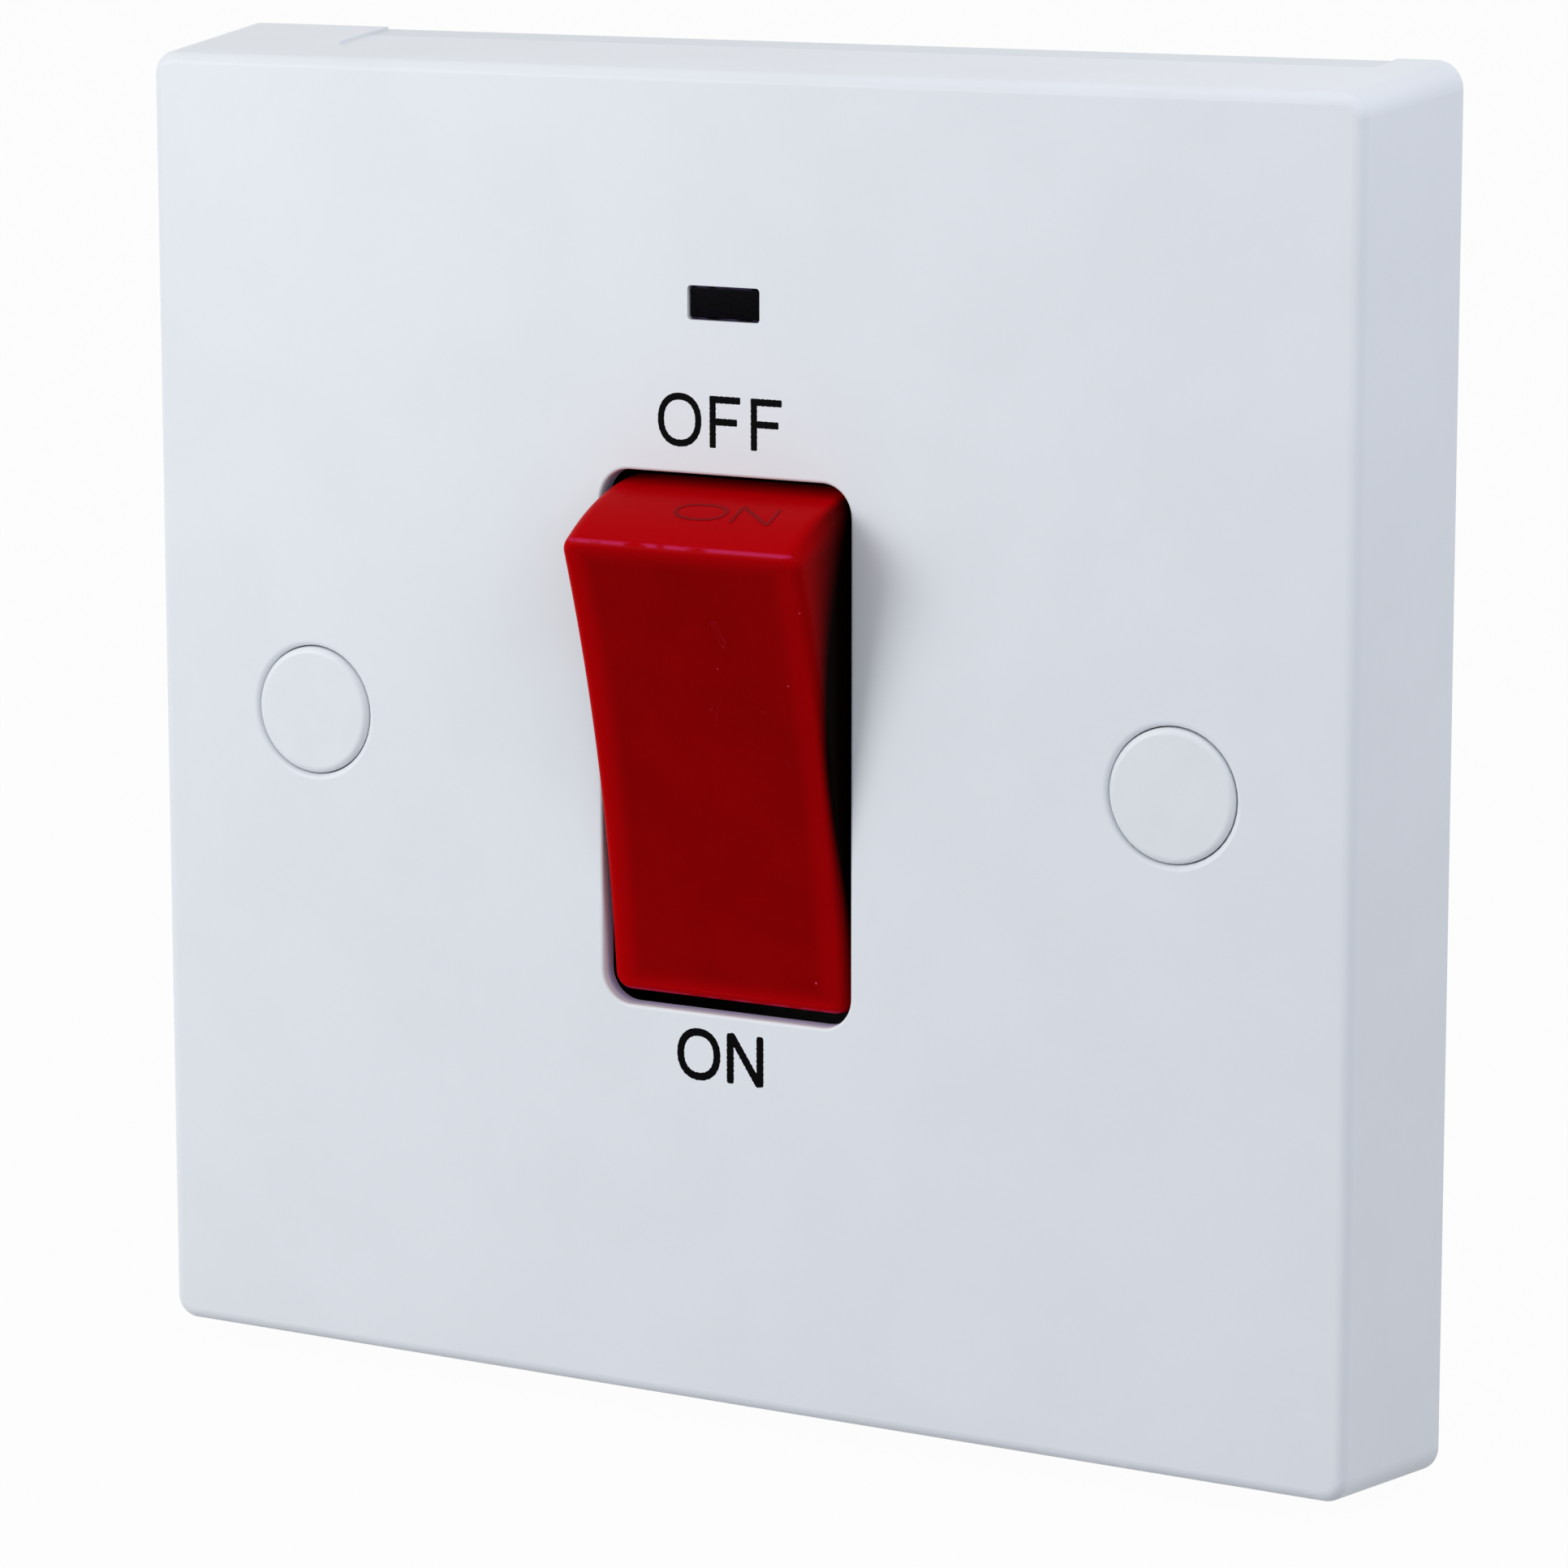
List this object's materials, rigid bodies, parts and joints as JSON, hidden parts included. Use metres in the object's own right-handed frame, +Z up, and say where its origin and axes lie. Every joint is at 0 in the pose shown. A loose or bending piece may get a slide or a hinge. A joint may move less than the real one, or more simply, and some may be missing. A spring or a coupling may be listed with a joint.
{
  "type": "double pole switch",
  "caption": "Square white moulded wall switch with a red rocker, small neon window and round caps over its fixing screws, and a double-pole mechanism with terminals behind.",
  "frame": {"origin": "centre of the plate's back rim, on the wall's surface", "axes": "+X to the right as seen from the room, +Y into the wall, +Z up"},
  "size_m": [0.086, 0.0379, 0.086],
  "materials": {
    "white_moulding": "satin moulded urea",
    "cap_moulding": "satin moulded",
    "red_moulding": "polished moulded",
    "dark_lens": "polished, dark tinted",
    "black_moulding": "moulded phenolic",
    "zinc_steel": "zinc plated",
    "spring_steel": "drawn wire",
    "nylon": "natural nylon",
    "copper": "stamped copper strip",
    "silver": "silver contact rivet",
    "brass": "machined",
    "lamp_glass": "clear glass",
    "resistor_coat": "lacquered",
    "lead_sleeve": "sleeved wire"
  },
  "bodies": {
    "body": {"faceplate": "white_moulding", "neon_lens": "dark_lens", "switch_base": "black_moulding", "base_screws": "zinc_steel", "fixing_screws": "zinc_steel", "fixed_tip_left": "silver", "fixed_tip_right": "silver", "feed_terminal_left": "brass", "feed_terminal_right": "brass", "load_terminal_left": "brass", "load_terminal_right": "brass", "feed_screw_left": "zinc_steel", "feed_screw_right": "zinc_steel", "load_screw_left": "zinc_steel", "load_screw_right": "zinc_steel", "neon_lamp": "lamp_glass", "neon_resistor": "resistor_coat", "neon_leads": "lead_sleeve", "earth_terminal": "brass", "earth_screw": "zinc_steel"},
    "rocker": {"rocker": "red_moulding", "plunger_spring_left": "spring_steel", "plunger_spring_right": "spring_steel"},
    "plunger_left": {"plunger_left": "nylon"},
    "contact_left": {"moving_contact_left": "copper", "moving_tip_left": "silver"},
    "cap_left": {"screw_cap_left": "cap_moulding"},
    "plunger_right": {"plunger_right": "nylon"},
    "contact_right": {"moving_contact_right": "copper", "moving_tip_right": "silver"},
    "cap_right": {"screw_cap_right": "cap_moulding"}
  },
  "joints": [
    {"name": "rocker_tilt", "type": "hinge", "parent": "body", "child": "rocker", "pos_m": [0, -0.00834, 0.0002], "axis": [1, 0, 0], "range_deg": [-25, 0]},
    {"name": "contact_left_rock", "type": "hinge", "parent": "body", "child": "contact_left", "pos_m": [-0.0046, 0.00338, 0.0002], "axis": [1, 0, 0], "range_deg": [0, 20]},
    {"name": "plunger_left_press", "type": "slide", "parent": "rocker", "child": "plunger_left", "axis": [0, -0.9763, -0.2164], "range_m": [0, 0.0015], "stiffness_N_per_m": 400, "springref_m": -0.002, "deforming": ["plunger_spring_left"]},
    {"name": "screw_cap_left_pull", "type": "slide", "parent": "body", "child": "cap_left", "axis": [0, -1, 0], "range_m": [0, 0.006]},
    {"name": "contact_right_rock", "type": "hinge", "parent": "body", "child": "contact_right", "pos_m": [0.0046, 0.00338, 0.0002], "axis": [1, 0, 0], "range_deg": [0, 20]},
    {"name": "plunger_right_press", "type": "slide", "parent": "rocker", "child": "plunger_right", "axis": [0, -0.9763, -0.2164], "range_m": [0, 0.0015], "stiffness_N_per_m": 400, "springref_m": -0.002, "deforming": ["plunger_spring_right"]},
    {"name": "screw_cap_right_pull", "type": "slide", "parent": "body", "child": "cap_right", "axis": [0, -1, 0], "range_m": [0, 0.006]}
  ],
  "couplings": [
    {"joint": "contact_left_rock", "follows": "rocker_tilt", "ratio": -0.8},
    {"joint": "contact_right_rock", "follows": "rocker_tilt", "ratio": -0.8}
  ]
}
